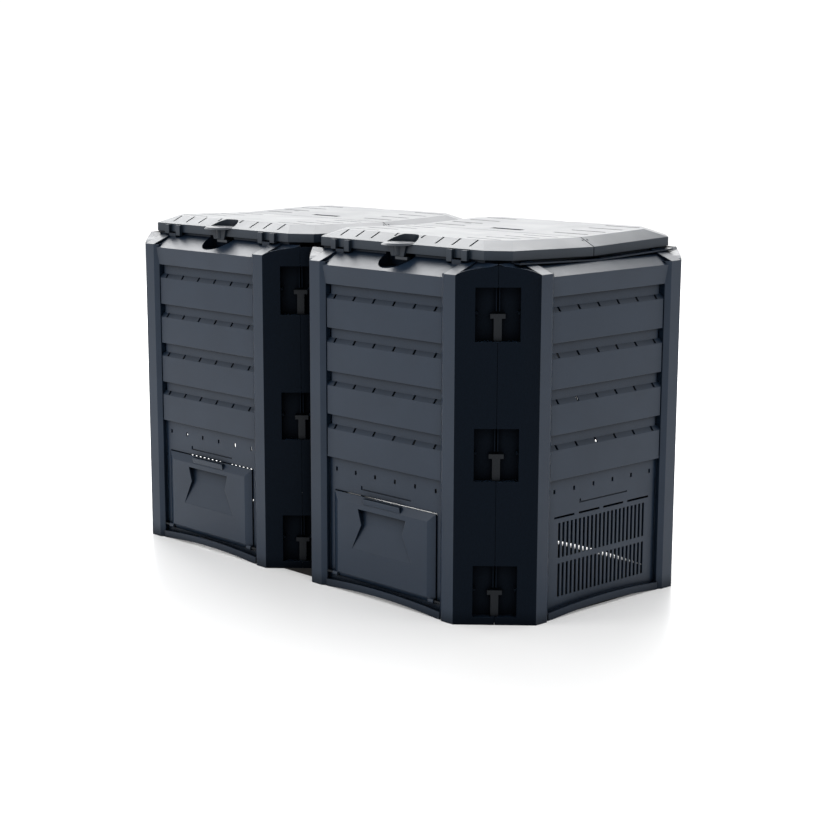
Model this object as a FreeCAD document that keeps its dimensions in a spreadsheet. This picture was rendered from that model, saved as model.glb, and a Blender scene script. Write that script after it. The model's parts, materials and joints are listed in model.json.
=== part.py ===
"""Two-module garden compost bin, eight-sided in plan, assembled from clipped wall panels.

Frame: X along the two modules, Y towards the back, Z up, millimetres.
The origin is on the ground at the middle of the footprint.

Wall panels are drawn once in a panel frame: x along the panel from its middle, y inward from
the face of the posts, z up. Every node of a panel is that drawing turned and moved into place.
"""
import FreeCAD, Part
import Sketcher
import math
import os
import re
from FreeCAD import Placement, Rotation, Vector

doc = FreeCAD.newDocument("CompostBin")
sheet = doc.addObject("Spreadsheet::Sheet", "Dims")

# Driving dimensions, in millimetres.
DIMENSIONS = {
    # whole bin
    "half_width": 359.5, "half_pitch": 317.5, "seam_reach": 63.5, "wall": 3,
    # posts and wings
    "post_out": 232.5, "post_in": 198, "post_top": 757.5, "seam_top": 776.6, "seam_gap": 0.6,
    "wing": 89.8, "web_at": 186, "web_depth": 22, "return_depth": 8,
    # slats, strips and air slots
    "face_top": 750, "face_top_depth": 4, "face_foot_depth": 8, "face_half": 195,
    "slat_depth": 9.5, "strip_depth": 17.3, "first_step": 707.5, "step_pitch": 99.6,
    "strip_drop": 23.5, "ledge_drop": 34, "strip_half": 178, "slat_half": 184,
    "air_pitch": 64.5, "air_wide": 6, "air_tall": 9.5, "air_drop": 28.2, "low_air": 281.6,
    # foot of the wall
    "skirt_depth": 5, "skirt_side": 17, "skirt_middle": 25, "arch_rise": 9,
    # sloped band and lip under the lids
    "lip_inset": 64.5, "lip_foot": 780, "lip_top": 795, "seat_dip": 8, "lip_half": 255.5,
    "corner_inset": 29.3,
    # corner windows and clips
    "window_half": 48, "window_low": 17, "window_tall": 115, "window_pitch": 300,
    "pocket_deep": 24, "clip_head": 16, "clip_stem": 8.5,
    # hatch
    "hatch_half": 165.5, "hatch_foot": 30.5, "hatch_top": 231, "hatch_play": 1.5,
    "hatch_pin_depth": 11, "hatch_pin_level": 36, "pin_rad": 3, "running_play": 0.05,
    # grille
    "bar_pitch": 13.6, "grille_slot": 7,
    # lids
    "rim_half": 301, "rim_corner": 258, "rim_tall": 20, "rim_level": 806, "lid_sheet": 3,
    "bevel_run": 39, "bevel_rise": 19, "lid_fall": 8, "leaf_gap": 1.2,
    "hinge_inset": 8, "hinge_level": 810.5, "lid_pin_rad": 1.5, "knuckle_rad": 4.5,
    # lid locks
    "dial_rad": 41, "dial_level": 803.3, "dial_tall": 5.2, "dial_inset": 298,
    "platform_level": 803, "shaft_rad": 5, "cam_reach": 30, "cam_level": 771,
    "scoop_rad": 47, "scoop_floor": 753.5, "scoop_back": 77.5,
}
for row, (alias, value) in enumerate(DIMENSIONS.items(), start=1):
    sheet.set(f"A{row}", alias)
    sheet.set(f"B{row}", str(value))
    sheet.setAlias(f"B{row}", alias)
doc.recompute()

WORD = re.compile(r"[a-z]+(?:_[a-z]+)*")


def bound(text):
    """An expression on the sheet, from a formula that names its cells by alias."""
    return WORD.sub(lambda m: "Dims." + m.group(0) if m.group(0) in DIMENSIONS else m.group(0),
                    str(text))


def size(text):
    """The present value of such a formula."""
    return float(sheet.evalExpression(bound(text)))


def bind(obj, prop, formula):
    obj.setExpression(prop, bound(formula))


def place(obj, x="0", y="0", z="0"):
    """Bind the position of an object to three formulas."""
    for axis, formula in zip("xyz", (x, y, z)):
        bind(obj, f".Placement.Base.{axis}", formula)


def box(x, y, z, wide, deep, tall):
    """A box from its low corner and its three sizes, all formulas."""
    made = doc.addObject("Part::Box", "Block")
    for prop, formula in (("Length", wide), ("Width", deep), ("Height", tall)):
        bind(made, prop, formula)
    place(made, x, y, z)
    return made


AXES = {"x": Rotation(Vector(0, 1, 0), 90), "y": Rotation(Vector(1, 0, 0), -90), "z": Rotation()}


def cylinder(x, y, z, radius, length, axis="z"):
    """A cylinder from the middle of its first end, running along +X, +Y or +Z."""
    made = doc.addObject("Part::Cylinder", "Round")
    made.Placement = Placement(Vector(), AXES[axis])
    bind(made, "Radius", radius)
    bind(made, "Height", length)
    place(made, x, y, z)
    return made


def outline(points, plane="XY"):
    """A closed sketch through points given as pairs of formulas, in the XY, YZ or XZ plane."""
    sketch = doc.addObject("Sketcher::SketchObject", "Outline")
    turns = {"XY": Rotation(), "YZ": Rotation(Vector(1, 1, 1), 120),
             "XZ": Rotation(Vector(1, 0, 0), 90)}
    sketch.Placement = Placement(Vector(), turns[plane])
    corners = [Vector(size(a), size(b), 0) for a, b in points]
    count = len(corners)
    for i in range(count):
        sketch.addGeometry(Part.LineSegment(corners[i], corners[(i + 1) % count]), False)
    for i in range(count):
        sketch.addConstraint(Sketcher.Constraint("Coincident", i, 2, (i + 1) % count, 1))
    for i, pair in enumerate(points):
        for kind, formula, value in zip(("DistanceX", "DistanceY"), pair, corners[i]):
            number = sketch.addConstraint(Sketcher.Constraint(kind, -1, 1, i, 1, value))
            sketch.setExpression(f"Constraints[{number}]", bound(formula))
    return sketch


def prism(points, low, high, plane="XY"):
    """The outline extruded square to its plane, from one level to another."""
    sketch = outline(points, plane)
    made = doc.addObject("Part::Extrusion", "Prism")
    made.Base = sketch
    made.DirMode = "Custom"
    directions = {"XY": Vector(0, 0, 1), "YZ": Vector(1, 0, 0), "XZ": Vector(0, 1, 0)}
    made.Dir = directions[plane]
    made.Solid = True
    bind(made, "LengthFwd", f"({high})-({low})")
    bind(sketch, ".Placement.Base." + {"XY": "z", "YZ": "x", "XZ": "y"}[plane], low)
    return made


def fuse(parts):
    """The parts joined one after another."""
    made = parts[0]
    for part in parts[1:]:
        joined = doc.addObject("Part::Fuse", "Joined")
        joined.Base = made
        joined.Tool = part
        made = joined
    return made


def cut(base, tools):
    """The base with every tool taken away; the tools may overlap one another."""
    made = doc.addObject("Part::Cut", "Trimmed")
    made.Base = base
    if len(tools) == 1:
        made.Tool = tools[0]
    else:
        made.Tool = doc.addObject("Part::MultiFuse", "Tools")
        made.Tool.Shapes = tools
    return made


def mirrored(source, normal=Vector(1, 0, 0)):
    made = doc.addObject("Part::Mirroring", "Mirrored")
    made.Source = source
    made.Base = Vector()
    made.Normal = normal
    return made


def both_sides(parts):
    """The parts and their mirror images across the middle of the panel."""
    return parts + [mirrored(part) for part in parts]


nodes = []


def node(label, sources, at=(0, 0, 0), turn=0):
    """A named sub-part: the sources, turned about Z and moved to their place."""
    made = doc.addObject("Part::Compound", label)
    made.Label = label
    made.Links = sources if isinstance(sources, list) else [sources]
    made.Placement = Placement(Vector(), Rotation(Vector(0, 0, 1), turn))
    place(made, *at)
    nodes.append(made)
    return made


def moved(part, x="0", y="0", z="0", turn=0, axis=Vector(0, 0, 1)):
    """The part turned about an axis through the origin, then moved."""
    made = doc.addObject("Part::Compound", "Moved")
    made.Links = [part]
    made.Placement = Placement(Vector(), Rotation(axis, turn))
    place(made, x, y, z)
    return made


def common(parts):
    made = doc.addObject("Part::MultiCommon", "Shared")
    made.Shapes = parts
    return made


def loft(sections, plane, levels):
    """A solid between two outlines on parallel planes, corner to corner."""
    sketches = []
    for points, level in zip(sections, levels):
        sketch = outline(points, plane)
        bind(sketch, ".Placement.Base." + {"XY": "z", "YZ": "x"}[plane], level)
        sketches.append(sketch)
    made = doc.addObject("Part::Loft", "Loft")
    made.Sections = sketches
    made.Solid = True
    made.Ruled = True
    return made


# ---------------------------------------------------------------- corners
LEVELS = [f"window_low+{i}*window_pitch" for i in range(3)]


def pockets(half):
    """Three pockets for clips on one side of a corner seam: the solids, and the spaces to cut.

    x runs away from the seam, y inward from the outer face of the corner.
    """
    solids = []
    holes = []
    for level in LEVELS:
        outer = box("seam_gap/2", "1", f"{level}-wall", f"{half}+wall-seam_gap/2",
                    "pocket_deep+wall-1", "window_tall+2*wall")
        inner = box("-5", "-5", level, f"{half}+5", "pocket_deep+5", "window_tall")
        rib = box("2", "pocket_deep/2", f"{level}+0.55*window_tall", "2.5",
                  "pocket_deep/2+1", "0.45*window_tall+1")
        shelf = box(f"{half}-6", "pocket_deep/4", f"{level}+0.5*window_tall", "7",
                    "0.75*pocket_deep+1", "5")
        solids.append(fuse([cut(outer, [inner]), rib, shelf]))
        holes.append(box("-5", "-5", f"{level}+0.4", f"{half}+4.6", "9", "window_tall-0.8"))
    return solids, holes


CROWN = [("wing", "post_top"), ("84", "761"), ("69.5", "766"), ("48.8", "770.3"),
         ("24", "773.7"), ("seam_gap/2", "seam_top")]


def corner_cap():
    """The arched top of a corner, from the wing's edge in to the lid's seat."""
    edge = prism([("seam_gap/2", "post_top")] + CROWN, "0", "wall", "XZ")
    under = [("seam_gap/2", "seam_top-wall"), ("48.8", "767"), ("69.5", "762.5"),
             ("wing-2", "post_top-4")]
    over = [("wing-2.3", "post_top+1.2")] + CROWN[1:-1] + [("seam_gap/2", "seam_top-0.1")]
    vault = prism(over + under, "1.2", "corner_inset+1.6", "XZ")
    lip = box("seam_gap/2", "corner_inset", "lip_foot-8", "28", "wall", "lip_top-lip_foot+8")
    return [edge, vault, lip]


def clip(level):
    """A T-shaped clip that holds two panels together, in a pocket at the seam."""
    head = box("-clip_head", "pocket_deep/3", f"{level}+0.42*window_tall", "2*clip_head",
               "pocket_deep*2/3", "10")
    stem = box("-clip_stem", "pocket_deep/3", level, "2*clip_stem", "pocket_deep*2/3",
               "0.42*window_tall")
    return fuse([head, stem])


# ---------------------------------------------------------------- wall panels
def zigzag():
    """The section of the slatted face, depth and level, from the top down and back up."""
    outer = [("face_top_depth", "face_top"), ("face_foot_depth", "first_step")]
    inner = [("face_top_depth+wall", "face_top"), ("face_foot_depth+wall", "first_step+wall")]
    for i in range(4):
        top = f"first_step-{i}*step_pitch"
        outer += [("strip_depth", top), ("strip_depth", f"{top}-strip_drop"),
                  ("slat_depth", f"{top}-ledge_drop"), ("slat_depth", f"{top}-step_pitch")]
        inner += [("strip_depth+wall", f"{top}+wall"), ("strip_depth+wall", f"{top}-strip_drop"),
                  ("slat_depth+wall", f"{top}-ledge_drop"),
                  ("slat_depth+wall", f"{top}-step_pitch+wall")]
    last = "first_step-4*step_pitch"
    outer += [("strip_depth", last), ("strip_depth", "10")]
    inner += [("strip_depth+wall", f"{last}+wall"), ("strip_depth+wall", "10")]
    return outer + inner[::-1]


def band():
    """The sloped band and the upright lip under a lid's edge."""
    reach = "(half_width-seam_reach)"
    slope = prism([("face_top_depth", "face_top"), ("lip_inset", "lip_foot"),
                   ("lip_inset+wall", "lip_foot"), ("lip_inset+wall", "lip_foot-wall-0.5"),
                   ("face_top_depth+5", "face_top-1.5"), ("face_top_depth+1.5", "face_top-6")],
                  f"-{reach}", reach, "YZ")
    trims = [moved(box("-60", "-60", "700", "160", "60.8", "200"), "seam_reach-half_width",
                   "seam_reach", "0", -45),
             moved(box("-60", "-70", "700", "60.8", "150", "200"), "seam_reach-half_width",
                   "seam_reach", "0", -45)]
    slope = cut(slope, both_sides(trims))
    lip = box("-lip_half-0.7", "lip_inset", "lip_foot-1.3", "2*lip_half+1.4", "wall",
              "lip_top-lip_foot+1.3")
    return [slope, lip]


def dip():
    """On an end wall the seat falls to the middle with the lids: a shelf, and what it clears."""
    shelf = prism([("-0.5", "lip_foot-seat_dip"), ("lip_half", "lip_foot"),
                   ("lip_half", "lip_foot-wall"), ("-0.5", "lip_foot-wall-seat_dip")],
                  "42", "lip_inset+1", "XZ")
    above = prism([("-0.5", "lip_foot-seat_dip"), ("lip_half", "lip_foot"), ("lip_half", "800"),
                   ("-0.5", "800")], "10", "lip_inset", "XZ")
    lip = prism([("-0.5", "lip_top-seat_dip"), ("lip_half", "lip_top"), ("lip_half", "810"),
                 ("-0.5", "810")], "lip_inset-1", "lip_inset+wall+1", "XZ")
    return shelf, [above, lip]


def air_slots():
    """Six slots in each of four ledges, and a lower row."""
    rows = [f"first_step-{i}*step_pitch-air_drop" for i in range(4)] + ["low_air"]
    return [box(f"({k}-2.5)*air_pitch-air_wide/2", "5", f"{level}-air_tall/2",
                "air_wide", "20", "air_tall") for level in rows for k in range(6)]


def strip_ends():
    """Openings at the strips' ends and fine grooves beside the slats, on one side."""
    cuts = [box("strip_half", "10", f"first_step-{i}*step_pitch-strip_drop",
                "web_at-strip_half", "15", "strip_drop") for i in range(4)]
    groove = box("slat_half", "5", "first_step-4*step_pitch+5", "web_at-slat_half", "6",
                 "4*step_pitch-5")
    slits = [box("web_at-4", "14", low, "2.2", "8", tall)
             for low, tall in (("42", "86"), ("140", "64"), ("215", "48"))]
    return cuts + [groove] + slits


def long_groove():
    """The groove over the hatch or grille, with its short upright end."""
    return [box("-79", "12", "245.2", "163", "7.3", "3"),
            box("-79", "12", "245.2", "6", "7.3", "9")]


def hatch_opening():
    return [box("-hatch_half-hatch_play", "12", "hatch_foot-hatch_play",
                "2*(hatch_half+hatch_play)", "12", "hatch_top-hatch_foot+2*hatch_play")]


def grille():
    """Two rows of upright slots, with four long slots above them."""
    cuts = [box(f"({k}-10.5)*bar_pitch-grille_slot/2", "12", low, "grille_slot", "12", tall)
            for k in range(22) for low, tall in (("44", "75"), ("131.8", "78.2"))]
    cuts += [box(low, "12", "220.5", wide, "12", "4.5")
             for low, wide in (("-160", "66"), ("-79", "69"), ("3", "69"), ("86", "74"))]
    return cuts


def scoop():
    """The round hand recess under a lid lock: its shell, and the space to cut."""
    tub = cylinder("0", "half_width-dial_inset", "scoop_floor-wall", "scoop_rad+wall", "60")
    under = prism([("5", "face_top-1"), ("lip_inset", "lip_foot-1"), ("lip_inset", "lip_top"),
                   ("scoop_back+wall", "lip_top"), ("scoop_back+wall", "720"), ("5", "720")],
                  "-60", "60", "YZ")
    well = cylinder("0", "half_width-dial_inset", "scoop_floor", "scoop_rad", "80")
    ahead = box("-60", "-10", "720", "120", "scoop_back+10", "130")
    slot = box("-9", "scoop_back-2", "cam_level-4", "43", "wall+4", "13")
    return common([tub, under]), [common([well, ahead]), slot]


def arch(side, middle):
    """A shallow arch across the slatted face, from left to right."""
    steps = [k / 6 for k in range(-6, 7)]
    return [(f"{a:.6f}*(web_at-2)", f"{side}+({middle}-({side}))*{1 - a * a:.6f}")
            for a in steps]


def panel(kind):
    """One wall panel: front with hatch opening, plain back, or end with grille and dipped seat."""
    reach = "half_width-seam_reach-seam_gap/2"
    post = prism([(reach, "seam_reach-seam_gap/2"), ("post_out", "0"), ("post_in", "0"),
                  ("web_at", "return_depth"), ("web_at", "web_depth"),
                  ("web_at+wall", "web_depth"), ("web_at+wall", "return_depth+1.5"),
                  ("post_in+1", "wall"), ("post_out-1.24", "wall"),
                  (f"{reach}-wall/1.4142", "seam_reach-seam_gap/2+wall/1.4142")],
                 "0", "post_top")
    cap = prism([("0", "post_top"), ("lip_inset-2", "lip_foot+1.5"), ("lip_inset+1", "lip_foot+1.5"),
                 ("lip_inset+1", "lip_foot-2"), ("3", "post_top-5"), ("3", "post_top-15"),
                 ("0", "post_top-15")], "post_in", "post_out", "YZ")
    pocket_solids, windows = pockets("window_half")
    corner = [moved(piece, "seam_reach-half_width", "seam_reach", "0", -45)
              for piece in corner_cap() + pocket_solids]
    holes = [moved(piece, "seam_reach-half_width", "seam_reach", "0", -45) for piece in windows]
    face = prism(zigzag(), "-web_at-1", "web_at+1", "YZ")
    top = prism([("face_top_depth", "face_top"), ("face_foot_depth", "first_step"),
                 ("face_foot_depth+wall", "first_step"), ("face_top_depth+wall", "face_top")],
                "-face_half", "face_half", "YZ")
    skirt = prism(arch("skirt_side", "skirt_middle")
                  + [("web_at+1", "skirt_side"), ("web_at+1", "0"), ("-web_at-1", "0"),
                     ("-web_at-1", "skirt_side")],
                  "skirt_depth", "strip_depth+wall", "XZ")
    under = prism(arch("-0.5", "arch_rise") + [("web_at-2", "-20"), ("2-web_at", "-20")],
                  "-5", "40", "XZ")
    cuts = air_slots() + long_groove() + both_sides(strip_ends() + holes) + [under]
    if kind == "front":
        cuts += hatch_opening()
        cuts.append(cylinder("-web_at-wall", "hatch_pin_depth", "hatch_pin_level", "pin_rad",
                             "2*(web_at+wall)", "x"))
    if kind == "end":
        cuts += grille()
        shelf, above = dip()
        seat = [cut(piece, both_sides(above)) for piece in band()] + both_sides([shelf])
    else:
        shell, space = scoop()
        seat = band() + [shell] + both_sides([box("172", "lip_inset-14", "760", "27", "6", "23")])
        cuts += space
    solids = [face, top, skirt] + seat + both_sides([post, cap] + corner)
    return cut(fuse(solids), cuts)


FRONT = "-half_width"
front = panel("front")
back = panel("back")
side_wall = panel("end")
for side, x in (("left", "-half_pitch"), ("right", "half_pitch")):
    node(f"front_panel_{side}", front, (x, FRONT, "0"))
    node(f"back_panel_{side}", back, (x, "half_width", "0"), 180)
node("end_panel_left", side_wall, ("-half_pitch-half_width", "0", "0"), -90)
node("end_panel_right", side_wall, ("half_pitch+half_width", "0", "0"), 90)

# ---------------------------------------------------------------- joining the two modules
pocket_solids, windows = pockets("23")
strip = prism([("seam_gap/2", "0"), ("30.3", "0"), ("30.3", "seam_top"),
               ("seam_gap/2", "seam_top")], "0", "wall", "XZ")
strips = [moved(cut(fuse([strip] + pocket_solids), windows), "half_width-seam_reach-half_pitch",
                "seam_reach-half_width", "0", 45)]
roof = prism([("-21.5", "-296"), ("0", "-274.5"), ("21.5", "-296"), ("42", "-275.5"),
              ("25.5", "-258.5"), ("25.5", "-250"), ("-25.5", "-250"), ("-25.5", "-258.5"),
              ("-42", "-275.5")], "770", "773")
gusset = prism([("-3", "-274.5"), ("3", "-274.5"), ("4.5", "-268"), ("-4.5", "-268")],
               "0", "seam_top")
joint_strip = fuse(both_sides(strips) + [roof, gusset])
node("joint_strip_front", joint_strip)
node("joint_strip_back", joint_strip, turn=180)
bridge = fuse([box("-25.5", "-249.5", "764", "51", "499", "4")]
              + both_sides([box("22.5", "-249.5", "764", "3", "499", "22")]))
node("bridge", bridge)

# ---------------------------------------------------------------- clips
clips = [clip(level) for level in LEVELS]
CORNERS = {
    "clips_front_left": ("-half_pitch-half_width+seam_reach", "-1", -45),
    "clips_front_middle_left": ("-half_pitch+half_width-seam_reach", "-1", 45),
    "clips_front_middle_right": ("half_pitch-half_width+seam_reach", "-1", -45),
    "clips_front_right": ("half_pitch+half_width-seam_reach", "-1", 45),
    "clips_back_left": ("-half_pitch-half_width+seam_reach", "1", -135),
    "clips_back_middle_left": ("-half_pitch+half_width-seam_reach", "1", 135),
    "clips_back_middle_right": ("half_pitch-half_width+seam_reach", "1", -135),
    "clips_back_right": ("half_pitch+half_width-seam_reach", "1", 135),
}
for label, (x, sign, turn) in CORNERS.items():
    node(label, clips, (x, f"{sign}*(half_width-seam_reach)", "0"), turn)

# ---------------------------------------------------------------- hatches
def hatch():
    """A door with a raised face, a handle ledge and a finger recess, on two end knuckles."""
    def rectangle(half, low, high):
        return [(f"-{half}", low), (half, low), (half, high), (f"-{half}", high)]

    def raised(inset, face, back):
        """The door's block, drawn in XY then stood up: y up, z outward."""
        outer = rectangle(f"(hatch_half-{inset})", f"hatch_foot+{inset}", f"hatch_top-{inset}")
        inner = rectangle(f"(146-{inset})", f"43.5+{inset}", f"212.5-{inset}")
        block = loft([outer, inner], "XY", ["-14", f"-{face}"])
        plate = prism(outer, f"-{back}", "-14")
        return moved(fuse([block, plate]), turn=90, axis=Vector(1, 0, 0))

    def recess(grow):
        cheeks = prism([(f"-98-{grow}", f"106-{grow}"), (f"98+{grow}", f"106-{grow}"),
                        (f"67+{grow}", "166.5"), (f"78+{grow}", f"202+{grow}"),
                        (f"-78-{grow}", f"202+{grow}"), (f"-67-{grow}", "166.5")],
                       "-10", "40", "XZ")
        depth = prism([(f"{2+2.0*grow}", f"106-{grow}"), (f"{2+2.0*grow}", f"202+{grow}"),
                       (f"19+{grow}", f"202+{grow}"), (f"14+{grow}", "166.5"),
                       (f"6.2+{grow}", f"106-{grow}")], "-120", "120", "YZ")
        return common([cheeks, depth])

    ledge = prism([("14", "229"), ("4", "229"), ("4", "226"), ("6", "216.5"), ("9", "212")],
                  "-60", "60", "YZ")
    knuckle = cylinder("-hatch_half", "hatch_pin_depth", "hatch_pin_level", "5.4", "16", "x")
    pin_hole = cylinder("-hatch_half-5", "hatch_pin_depth", "hatch_pin_level",
                        "pin_rad+running_play", "26", "x")
    shell = cut(raised("0", "6", "17"), [raised("wall", "9", "20")])
    body = cut(fuse([shell, recess(3), ledge]), [recess(0)])
    return cut(fuse([body] + both_sides([knuckle])), both_sides([pin_hole]))


door = hatch()
hatch_pins = both_sides([cylinder("-web_at-wall", "hatch_pin_depth", "hatch_pin_level", "pin_rad",
                                  "web_at+wall-146", "x")])
for side, x in (("left", "-half_pitch"), ("right", "half_pitch")):
    node(f"hatch_{side}", door, (x, FRONT, "0"))
    node(f"hatch_pins_{side}", hatch_pins, (x, FRONT, "0"))

# ---------------------------------------------------------------- lids
FALL = math.degrees(math.asin(size("lid_fall/rim_half")))


def leaf_plan(inset, corner_in, depth="rim_half+20"):
    """Half an eight-sided plan, its front edge on the X axis and its open side far behind."""
    half = f"(rim_half-({inset}))"
    corner = f"(rim_corner-({corner_in}))"
    return [(half, depth), (f"-{half}", depth), (f"-{half}", f"rim_half-{corner}"),
            (f"-{corner}", inset), (corner, inset), (half, f"rim_half-{corner}")]


def leaf_block(inset, corner_in, low, top):
    """A solid leaf: upright rim and sloped bevel, tilted to fall towards the hinge."""
    rim = prism(leaf_plan(inset, corner_in), low, "rim_tall")
    slope = loft([leaf_plan(inset, corner_in),
                  leaf_plan(f"{inset}+bevel_run-{inset}/4", f"{corner_in}+bevel_run-{inset}/4")],
                 "XY", ["rim_tall", top])
    return moved(fuse([rim, slope]), "0", "-rim_half", "rim_level-rim_tall", -FALL,
                 Vector(1, 0, 0))


def lid_slots():
    """Air slots in the front bevel and on the flat top, on one side."""
    cuts = [box(f"{x}-2.5", "-289", "780", "5", "27", "60") for x in ("102", "152.5", "205")]
    cuts.append(box("39.5", "-273", "780", "5", "16", "60"))
    cuts += [box("140", f"-{y}-3", "790", "100", "6", "50") for y in ("50", "110", "170", "230")]
    return cuts


def leaf(hand_hole):
    """One lid leaf with its locating lugs, lock platform and hinge knuckles."""
    block = leaf_block("0", "0", "0", "rim_tall+bevel_rise")
    shell = cut(block, [leaf_block("lid_sheet", "1.24", "-5", "rim_tall+bevel_rise-lid_sheet")])
    boss = common([block, cylinder("0", "-dial_inset", "platform_level-3", "dial_rad+4", "60")])
    hub = cylinder("0", "-dial_inset", "781", "11", "platform_level-781")
    leg = prism([("-20", "778"), ("20", "778"), ("27", "platform_level"),
                 ("-27", "platform_level")], "-rim_half-4", "-rim_half+1", "XZ")
    lugs = [box(x, "-rim_half-8", foot, "16", "8.5", f"804-{foot}")
            for x, foot in (("155", "778"), ("200", "781.5"))]
    knuckle = cylinder("165", "-hinge_inset", "hinge_level", "knuckle_rad", "30", "x")
    keep = [cylinder("0", "-dial_inset", "platform_level", "dial_rad+1.6", "60"),
            cylinder("0", "-dial_inset", "770", "shaft_rad+running_play", "60"),
            cylinder("-300", "-hinge_inset", "hinge_level", "lid_pin_rad+running_play", "600", "x"),
            box("-320", "-leaf_gap", "700", "640", "80", "200")]
    if hand_hole:
        keep.append(box("-48", "-55", "790", "96", "17", "50"))
        keep.append(box("165", "-98", "790", "20", "4", "50"))
    return cut(fuse([shell, boss, hub, leg] + both_sides(lugs + [knuckle])),
               keep + both_sides(lid_slots()))


front_leaf = leaf(False)
rear_leaf = leaf(True)
lid_pin = cylinder("-202", "-hinge_inset", "hinge_level", "lid_pin_rad", "404", "x")
dial = cut(fuse([cylinder("0", "-dial_inset", "dial_level", "dial_rad", "1.5"),
                 moved(loft([[(f"{math.cos(a):.5f}*{r}", f"{math.sin(a):.5f}*{r}")
                              for a in [k * math.pi / 24 for k in range(48)]]
                             for r in ("(dial_rad-0.2)", "(dial_rad-4.5)")], "XY",
                            ["dial_level+1.5", "dial_level+dial_tall"]), "0", "-dial_inset")]),
           [box("-12", "-dial_inset-2.5", "dial_level+dial_tall-2", "24", "5", "10")])
cam = fuse([cylinder("0", "-dial_inset", "cam_level", "shaft_rad", "dial_level-cam_level"),
            box("-8", "-dial_inset-6", "cam_level", "cam_reach+8", "12", "6.7")])


def crossbar():
    """The bar under the hinge line, with steel ears that hold both hinge pins."""
    beam = box("-250", "-14", "781", "500", "28", "18")
    tongues = both_sides([box("249", "-14", "777", "43", "28", "9")])
    ears = []
    for x in ("158", "196"):
        for y in ("-hinge_inset", "hinge_inset"):
            ears.append(cylinder(x, y, "hinge_level", "3.2", "6", "x"))
            ears.append(box(x, f"{y}-2.9", "797", "6", "5.8", "hinge_level-797"))
    holes = [cylinder("-300", y, "hinge_level", "lid_pin_rad", "600", "x")
             for y in ("-hinge_inset", "hinge_inset")]
    return cut(fuse([beam] + tongues + both_sides(ears)), holes)


beam = crossbar()
for side, x in (("left", "-half_pitch"), ("right", "half_pitch")):
    at = (x, "0", "0")
    node(f"crossbar_{side}", beam, at)
    for place_name, turn, shape in (("front", 0, front_leaf), ("rear", 180, rear_leaf)):
        node(f"lid_{place_name}_{side}", shape, at, turn)
        node(f"lid_pin_{place_name}_{side}", lid_pin, at, turn)
        node(f"dial_{place_name}_{side}", dial, at, turn)
        node(f"cam_{place_name}_{side}", cam, at, turn)

# ---------------------------------------------------------------- check and write
doc.recompute()
for obj in doc.Objects:
    if {"Invalid", "Error"} & set(obj.State):
        raise RuntimeError(f"{obj.Label} failed: {obj.State}")
os.makedirs("parts", exist_ok=True)
for obj in nodes:
    shape = obj.Shape
    if shape.isNull() or not shape.isValid() or not shape.Solids:
        raise RuntimeError(f"{obj.Label} has no valid shape")
    shape.exportStep(f"parts/{obj.Label}.step")
    print(obj.Label, len(shape.Solids), round(shape.Volume / 1000), shape.BoundBox)
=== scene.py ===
"""Looks for the two-module compost bin: moulded plastics, floor, light and camera."""
import json
import math

import bpy
from mathutils import Matrix, Vector

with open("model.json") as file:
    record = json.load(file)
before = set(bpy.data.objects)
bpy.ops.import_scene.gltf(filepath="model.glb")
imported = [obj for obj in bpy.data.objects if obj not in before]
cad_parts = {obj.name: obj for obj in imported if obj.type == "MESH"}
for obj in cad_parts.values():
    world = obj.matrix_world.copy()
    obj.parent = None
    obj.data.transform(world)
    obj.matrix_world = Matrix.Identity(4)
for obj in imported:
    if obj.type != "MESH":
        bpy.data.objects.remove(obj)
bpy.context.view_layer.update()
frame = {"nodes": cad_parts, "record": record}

NODES = frame["nodes"]

# ------------------------------------------------------------------ materials
# Texture scales, per metre of object space.
CLOUD_SCALE = 9.0
GRAIN_SCALE = 900.0
SPECK_SCALE = 420.0
STREAK_SCALE = 300.0
# Metres.
EDGE_RADIUS = 0.0013
BUMP_HEIGHT = 0.0004
# Reach, in metres, of the occlusion mask that paints shade in hollows.
PAINTED_SHADE_REACH = 0.035
# A face turned 45 degrees in plan has both of its level normal parts above this.
DIAGONAL = 0.6
SPECK_CONTRAST = 1.9
SPECK_HEIGHT = 2.2

class Nodes:
    """A material's node tree, with short calls for the nodes used here."""

    def __init__(self, name):
        self.material = bpy.data.materials.new(name)
        self.material.use_nodes = True
        self.tree = self.material.node_tree
        self.shader = self.tree.nodes["Principled BSDF"]

    def add(self, kind, **inputs):
        made = self.tree.nodes.new(kind)
        for name, value in inputs.items():
            made.inputs[name.replace("_", " ")].default_value = value
        return made

    def link(self, source, target):
        self.tree.links.new(source, target)

    def coords(self):
        return self.add("ShaderNodeTexCoord").outputs["Object"]

    def noise(self, scale, detail=4.0, rough=0.55):
        made = self.add("ShaderNodeTexNoise", Scale=scale, Detail=detail, Roughness=rough)
        self.link(self.coords(), made.inputs["Vector"])
        return made.outputs["Fac"]

    def span(self, value, low, high):
        """Noise, which lies mostly between 0.3 and 0.7, stretched to run from low to high."""
        made = self.add("ShaderNodeMapRange", From_Min=0.3, From_Max=0.7, To_Min=low, To_Max=high)
        self.link(value, made.inputs["Value"])
        return made.outputs["Result"]

    def math(self, operation, a, b=None):
        made = self.tree.nodes.new("ShaderNodeMath")
        made.operation = operation
        for socket, value in zip(made.inputs, (a, b)):
            if value is None:
                continue
            if isinstance(value, (int, float)):
                socket.default_value = value
            else:
                self.link(value, socket)
        return made.outputs[0]

    def blend(self, factor, a, b):
        made = self.tree.nodes.new("ShaderNodeMix")
        made.data_type = "RGBA"
        for socket, value in ((made.inputs[6], a), (made.inputs[7], b)):
            if isinstance(value, tuple):
                socket.default_value = value
            else:
                self.link(value, socket)
        self.link(factor, made.inputs[0])
        return made.outputs[2]


def rgb(red, green, blue):
    return (red, green, blue, 1.0)


def scaled(colour, factor):
    return tuple(c * factor for c in colour[:3]) + (1.0,)


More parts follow.
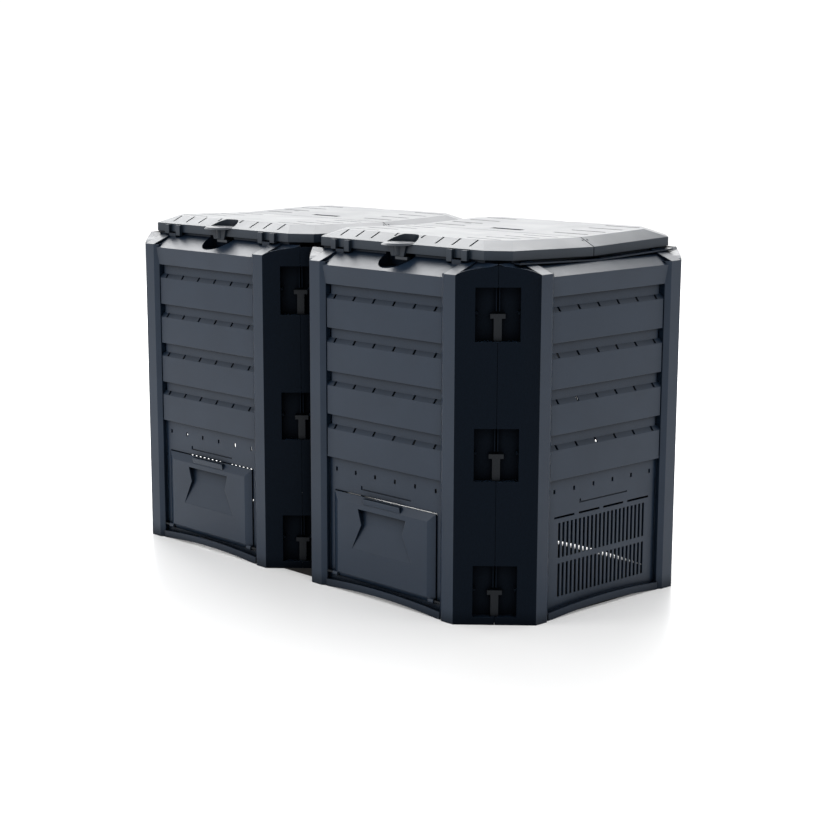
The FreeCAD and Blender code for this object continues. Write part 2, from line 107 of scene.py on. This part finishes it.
def diagonal_mask(made):
    """1 on faces turned 45 degrees in plan, 0 elsewhere."""
    normal = made.add("ShaderNodeNewGeometry").outputs["True Normal"]
    parts = made.add("ShaderNodeSeparateXYZ")
    made.link(normal, parts.inputs[0])
    across = made.math("ABSOLUTE", parts.outputs[0])
    along = made.math("ABSOLUTE", parts.outputs[1])
    return made.math("GREATER_THAN", made.math("MINIMUM", across, along), DIAGONAL)


def moulded(name, colour, rough, shine, painted_shade_power=1.6, stipple=0.0, wing=None):
    """Satin moulded plastic: faint cloudiness, fine bump, softened edges and painted shade in
    hollows.

    painted_shade_power is how strongly the painted shade darkens colour and gloss in hollows;
    wing is the colour of faces turned 45 degrees in plan, which are duller and stippled.
    """
    made = Nodes(name)
    cloud = made.noise(CLOUD_SCALE)
    tint = made.blend(made.span(cloud, 0.0, 1.0), colour, scaled(colour, 0.86))
    grain = made.noise(GRAIN_SCALE, 2.0)
    height = made.math("MULTIPLY", grain, 0.25 + stipple)
    roughness = made.span(cloud, rough - 0.03, rough + 0.04)
    # Painted shade: an ambient-occlusion mask darkens the colour and the gloss in hollows,
    # creases and between parts.
    painted_shade_ao = made.add("ShaderNodeAmbientOcclusion", Distance=PAINTED_SHADE_REACH)
    painted_shade_ao.samples = 4
    painted_shade_factor = made.math("POWER", painted_shade_ao.outputs["AO"], painted_shade_power)
    gloss = made.math("MULTIPLY", painted_shade_factor, shine)
    if wing:
        mask = diagonal_mask(made)
        speck = made.noise(SPECK_SCALE, 3.0, 0.7)
        speckled = made.blend(made.span(speck, 0.0, 1.0), wing, scaled(wing, SPECK_CONTRAST))
        tint = made.blend(mask, tint, speckled)
        pits = made.math("MULTIPLY", made.math("MULTIPLY", speck, SPECK_HEIGHT), mask)
        height = made.math("ADD", height, pits)
        roughness = made.math("ADD", roughness, made.math("MULTIPLY", mask, 0.12))
        dulled = made.math("SUBTRACT", 1.0, made.math("MULTIPLY", mask, 0.85))
        gloss = made.math("MULTIPLY", gloss, dulled)
    # Painted shade: the colour fades to near black where the occlusion mask is low.
    made.link(made.blend(painted_shade_factor, rgb(0.0015, 0.002, 0.003), tint),
              made.shader.inputs["Base Color"])
    made.link(gloss, made.shader.inputs["Specular IOR Level"])
    made.link(roughness, made.shader.inputs["Roughness"])
    edge = made.add("ShaderNodeBevel", Radius=EDGE_RADIUS)
    edge.samples = 6
    bump = made.add("ShaderNodeBump", Strength=0.35, Distance=BUMP_HEIGHT)
    made.link(height, bump.inputs["Height"])
    made.link(edge.outputs[0], bump.inputs["Normal"])
    made.link(bump.outputs[0], made.shader.inputs["Normal"])
    return made.material


def steel(name):
    """Drawn steel rod, with fine noise in its colour and roughness."""
    made = Nodes(name)
    streak = made.noise(STREAK_SCALE, 3.0)
    made.link(made.blend(streak, rgb(0.42, 0.43, 0.45), rgb(0.60, 0.61, 0.63)),
              made.shader.inputs["Base Color"])
    made.link(made.span(streak, 0.25, 0.42), made.shader.inputs["Roughness"])
    made.shader.inputs["Metallic"].default_value = 1.0
    return made.material


ANTHRACITE = rgb(0.0085, 0.0180, 0.0345)
WING = rgb(0.0014, 0.0030, 0.0058)
MATERIALS = {
    "panel_plastic": moulded("panel_plastic", ANTHRACITE, 0.32, 0.25, wing=WING),
    "hatch_plastic": moulded("hatch_plastic", ANTHRACITE, 0.32, 0.25),
    "lid_plastic": moulded("lid_plastic", rgb(0.016, 0.025, 0.038), 0.33, 0.28, painted_shade_power=0.9),
    "lock_plastic": moulded("lock_plastic", rgb(0.018, 0.026, 0.038), 0.30, 0.45, painted_shade_power=0.5),
    # The clips' near-black colour is painted shade, darker than the panels to match the deep
    # window pockets they sit in.
    "clip_plastic": moulded("clip_plastic", rgb(0.003, 0.005, 0.008), 0.45, 0.20, stipple=0.2),
    "joint_plastic": moulded("joint_plastic", rgb(0.009, 0.014, 0.022), 0.42, 0.27, wing=WING),
    "pin_steel": steel("pin_steel"),
}
for part in frame["record"]["subparts"]:
    mesh = NODES[part["node"]].data
    mesh.materials.clear()
    mesh.materials.append(MATERIALS[part["material_slot"]])

# ------------------------------------------------------------------ floor, light and camera
FLOOR_HALF = 12.0
# The eight-sided outline of the dark sheet that paints the shade inside the bin: half sizes, cut
# corners and level, in metres.
SHADE_SHEET_HALF_WIDE = 0.66
SHADE_SHEET_HALF_DEEP = 0.33
SHADE_SHEET_CORNER = 0.10
SHADE_SHEET_LEVEL = 0.001


def flat(name, corners, level):
    """One level face through the corners, as a piece of the stage without a material."""
    mesh = bpy.data.meshes.new(name)
    mesh.from_pydata([(x, y, level) for x, y in corners], [], [tuple(range(len(corners)))])
    piece = bpy.data.objects.new(name, mesh)
    bpy.context.scene.collection.objects.link(piece)
    return piece


def floor():
    """A white studio floor that glows a little, so it stays white near the bin."""
    ground = flat("floor", [(-FLOOR_HALF, -FLOOR_HALF), (FLOOR_HALF, -FLOOR_HALF),
                            (FLOOR_HALF, FLOOR_HALF), (-FLOOR_HALF, FLOOR_HALF)], 0.0)
    made = Nodes("floor")
    cloud = made.noise(0.7)
    made.link(made.blend(cloud, rgb(0.90, 0.90, 0.90), rgb(0.93, 0.93, 0.93)),
              made.shader.inputs["Base Color"])
    made.shader.inputs["Roughness"].default_value = 0.25
    made.shader.inputs["Specular IOR Level"].default_value = 0.12
    made.shader.inputs["Emission Color"].default_value = rgb(1.0, 1.0, 1.0)
    made.shader.inputs["Emission Strength"].default_value = 0.14
    ground.data.materials.append(made.material)


def paint_inside_shade():
    """A dark sheet on the floor that paints the shade inside the bin, which has no bottom."""
    wide, deep, cut = SHADE_SHEET_HALF_WIDE, SHADE_SHEET_HALF_DEEP, SHADE_SHEET_CORNER
    inside_shade = flat("inside_shade", [(-wide, -deep + cut), (-wide + cut, -deep), (wide - cut, -deep),
                           (wide, -deep + cut), (wide, deep - cut), (wide - cut, deep),
                           (-wide + cut, deep), (-wide, deep - cut)], SHADE_SHEET_LEVEL)
    made = Nodes("inside_shade")
    # Painted shade: mottled near-black colour for the inside of the bin.
    shade_mottle = made.noise(60.0, 8.0, 0.7)
    made.link(made.blend(shade_mottle, rgb(0.004, 0.004, 0.004), rgb(0.016, 0.014, 0.012)),
              made.shader.inputs["Base Color"])
    made.shader.inputs["Roughness"].default_value = 0.95
    inside_shade.data.materials.append(made.material)


def sky(strength):
    """An even white surround."""
    world = bpy.data.worlds.new("studio")
    world.use_nodes = True
    background = world.node_tree.nodes["Background"]
    background.inputs["Color"].default_value = rgb(1.0, 1.0, 1.0)
    background.inputs["Strength"].default_value = strength
    bpy.context.scene.world = world


def softbox(name, place, aim, wide, high, watts):
    """A lit rectangle at a place, turned towards the aim and not seen by the camera."""
    lamp = bpy.data.lights.new(name, "AREA")
    lamp.shape = "RECTANGLE"
    lamp.size = wide
    lamp.size_y = high
    lamp.energy = watts
    made = bpy.data.objects.new(name, lamp)
    bpy.context.scene.collection.objects.link(made)
    made.location = place
    made.visible_camera = False
    made.rotation_euler = (Vector(aim) - Vector(place)).to_track_quat("-Z", "Y").to_euler()


EYE = Vector((3.20128, -3.04903, 1.14856))
YAW = math.radians(48.811)
PITCH = math.radians(11.282)
ROLL = math.radians(-0.379)


def camera():
    """The view from the right and front, slightly above the lids."""
    ahead = Vector((-math.sin(YAW) * math.cos(PITCH), math.cos(YAW) * math.cos(PITCH),
                    -math.sin(PITCH)))
    level = Vector((math.cos(YAW), math.sin(YAW), 0.0))
    upward = level.cross(ahead)
    right = level * math.cos(ROLL) + upward * math.sin(ROLL)
    top = upward * math.cos(ROLL) - level * math.sin(ROLL)
    lens = bpy.data.cameras.new("view")
    lens.sensor_width = 36.0
    lens.lens = 79.42
    lens.shift_x = 0.1061
    lens.shift_y = 0.0434
    made = bpy.data.objects.new("view", lens)
    bpy.context.scene.collection.objects.link(made)
    turn = Matrix((right, top, -ahead)).transposed().to_4x4()
    made.matrix_world = Matrix.Translation(EYE) @ turn
    bpy.context.scene.camera = made


bpy.context.scene.view_settings.view_transform = "Standard"
floor()
# Painted shade inside the bottomless bin.
paint_inside_shade()
sky(1.08)
softbox("back", (-5.5, 5.0, 1.9), (0.0, 0.0, 0.9), 7.0, 3.0, 70.0)
softbox("above", (-3.6, 3.0, 4.6), (0.0, 0.0, 0.8), 6.0, 3.6, 400.0)
softbox("left", (-2.6, -5.0, 2.6), (-0.2, 0.0, 0.4), 2.6, 2.6, 60.0)
camera()
